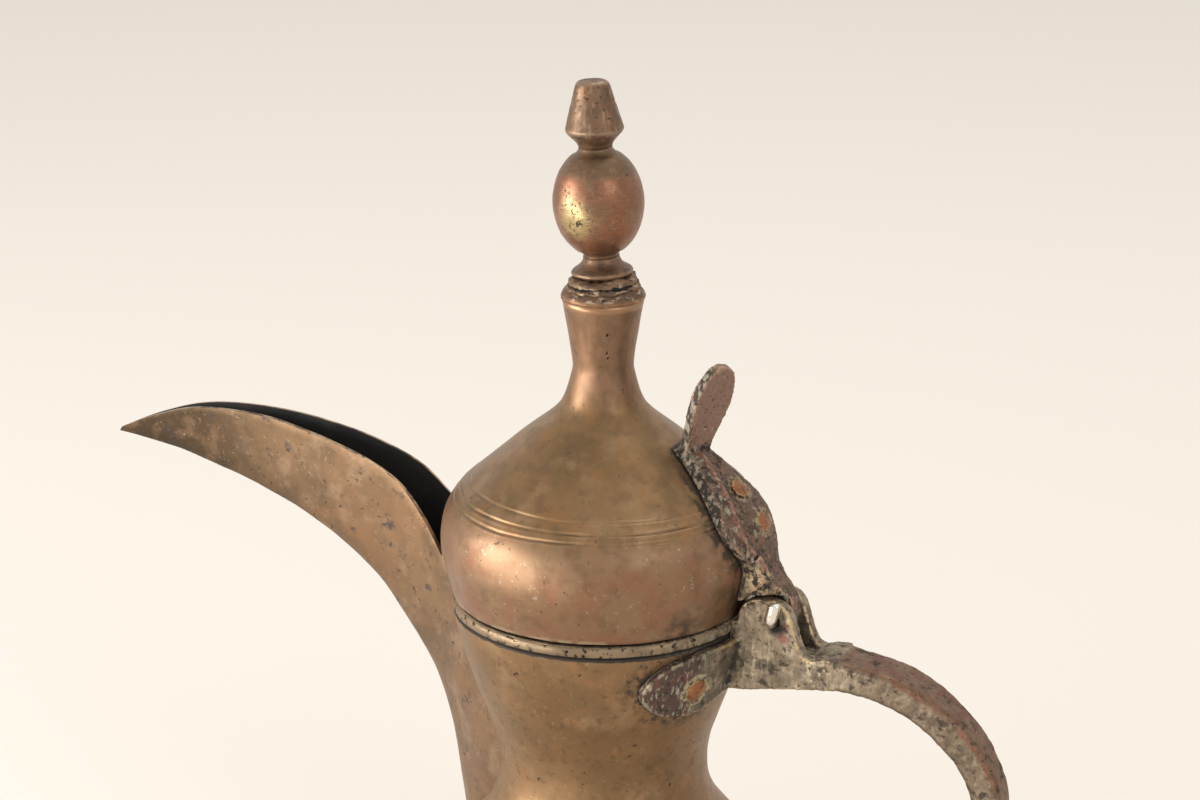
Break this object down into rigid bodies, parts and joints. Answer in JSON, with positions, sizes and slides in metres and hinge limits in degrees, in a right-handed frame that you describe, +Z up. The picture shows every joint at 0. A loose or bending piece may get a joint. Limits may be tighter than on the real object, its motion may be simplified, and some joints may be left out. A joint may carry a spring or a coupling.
{
  "type": "coffee pot",
  "caption": "Tall metal dallah coffee pot with a long open beak spout, waisted body, hinged domed lid with a stacked finial, thumb leaf and forged bar handle.",
  "frame": {"origin": "centre of the foot's underside, on the pot's axis", "axes": "+Z up along the pot's axis, -X towards the spout, +X towards the handle and the lid's hinge, Y across"},
  "size_m": [0.3271, 0.1342, 0.3302],
  "materials": {
    "body_metal": "old copper alloy, tan brown, worn satin",
    "spout_metal": "old copper alloy, black inside",
    "lid_metal": "olive brown patina, worn satin",
    "ring_metal": "dull grey green tarnish",
    "forged_copper": "dark red brown copper with verdigris at the edges",
    "rivet_copper": "bright worn copper",
    "solder": "dull grey solder and grime",
    "finial_brass": "red brown with a worn yellow patch",
    "pin_steel": "bright worn wire"
  },
  "bodies": {
    "pot": {"lower_body": "body_metal", "base_plate": "body_metal", "upper_body": "body_metal", "mouth_ring": "ring_metal", "spout": "spout_metal", "hinge_bracket": "forged_copper", "bracket_rivets": "rivet_copper", "handle": "forged_copper", "foot_rivets": "rivet_copper", "hinge_pin": "pin_steel"},
    "lid": {"lid": "lid_metal", "lid_leaf": "forged_copper", "leaf_rivets": "rivet_copper", "neck_cap": "lid_metal", "solder_collar": "solder", "finial_base": "finial_brass", "finial_ball": "finial_brass", "finial_cone": "finial_brass", "finial_stem": "pin_steel"}
  },
  "joints": [
    {"name": "lid_hinge", "type": "hinge", "parent": "pot", "child": "lid", "pos_m": [0.063, 0, 0.1636], "axis": [0, 1, 0], "range_deg": [0, 90]}
  ]
}
